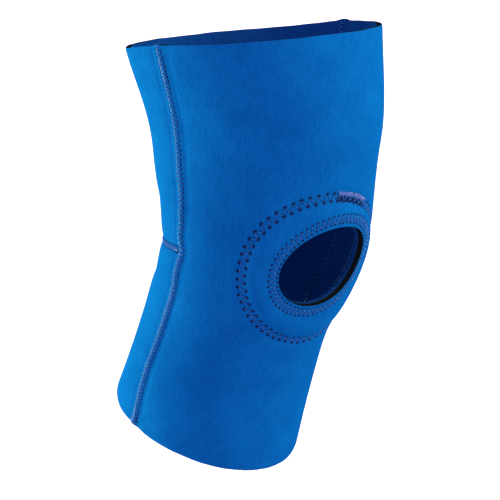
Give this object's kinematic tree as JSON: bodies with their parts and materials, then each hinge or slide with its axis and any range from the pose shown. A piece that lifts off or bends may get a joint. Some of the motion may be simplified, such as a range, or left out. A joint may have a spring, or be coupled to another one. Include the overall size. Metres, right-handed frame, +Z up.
{
  "type": "knee brace",
  "caption": "Pull-on elastic knee sleeve of laminated foam with an open patella hole, a sewn ring pad round it and stitched seams; it bends at the knee.",
  "frame": {"origin": "centre of the knee, on the axis the knee bends about, inside the sleeve", "axes": "+Z up along the thigh, front of the knee faces -Y, wearer's right is -X; X is the bending axis"},
  "size_m": [0.1482, 0.1871, 0.2597],
  "materials": {
    "face_fabric": "royal blue nylon jersey, matt with a soft sheen",
    "foam": "black closed-cell foam, matt cut edge",
    "lining_fabric": "darker blue nylon jersey, matt",
    "thread": "navy polyester thread, slightly glossy"
  },
  "bodies": {
    "thigh_section": {"back_knee_lower_face": "face_fabric", "back_knee_lower_foam": "foam", "back_knee_lower_lining": "lining_fabric", "back_knee_upper_face": "face_fabric", "back_knee_upper_foam": "foam", "back_knee_upper_lining": "lining_fabric", "back_thigh_face": "face_fabric", "back_thigh_foam": "foam", "back_thigh_lining": "lining_fabric", "front_knee_face": "face_fabric", "front_knee_foam": "foam", "front_knee_lining": "lining_fabric", "front_thigh_face": "face_fabric", "front_thigh_foam": "foam", "front_thigh_lining": "lining_fabric", "left_seam_thread_knee": "thread", "left_seam_thread_thigh": "thread", "patella_bar_tack": "thread", "patella_inner_thread": "thread", "patella_outer_thread": "thread", "patella_ring_facing": "lining_fabric", "patella_ring_pad": "foam", "popliteal_seam_thread": "thread", "right_seam_thread_knee": "thread", "right_seam_thread_thigh": "thread"},
    "calf_section": {"back_calf_face": "face_fabric", "back_calf_foam": "foam", "back_calf_lining": "lining_fabric", "front_calf_face": "face_fabric", "front_calf_foam": "foam", "front_calf_lining": "lining_fabric", "left_seam_thread_calf": "thread", "right_seam_thread_calf": "thread"}
  },
  "joints": [
    {"name": "knee_flexion", "type": "hinge", "parent": "thigh_section", "child": "calf_section", "pos_m": [0, 0, 0], "axis": [1, 0, 0], "range_deg": [-30, 70], "stiffness_Nm_per_rad": 0.3, "deforming": ["back_knee_lower_face", "back_knee_lower_foam", "back_knee_lower_lining", "back_knee_upper_face", "back_knee_upper_foam", "back_knee_upper_lining", "front_knee_face", "front_knee_foam", "front_knee_lining", "left_seam_thread_knee", "patella_bar_tack", "patella_inner_thread", "patella_outer_thread", "patella_ring_facing", "patella_ring_pad", "popliteal_seam_thread", "right_seam_thread_knee"]}
  ]
}
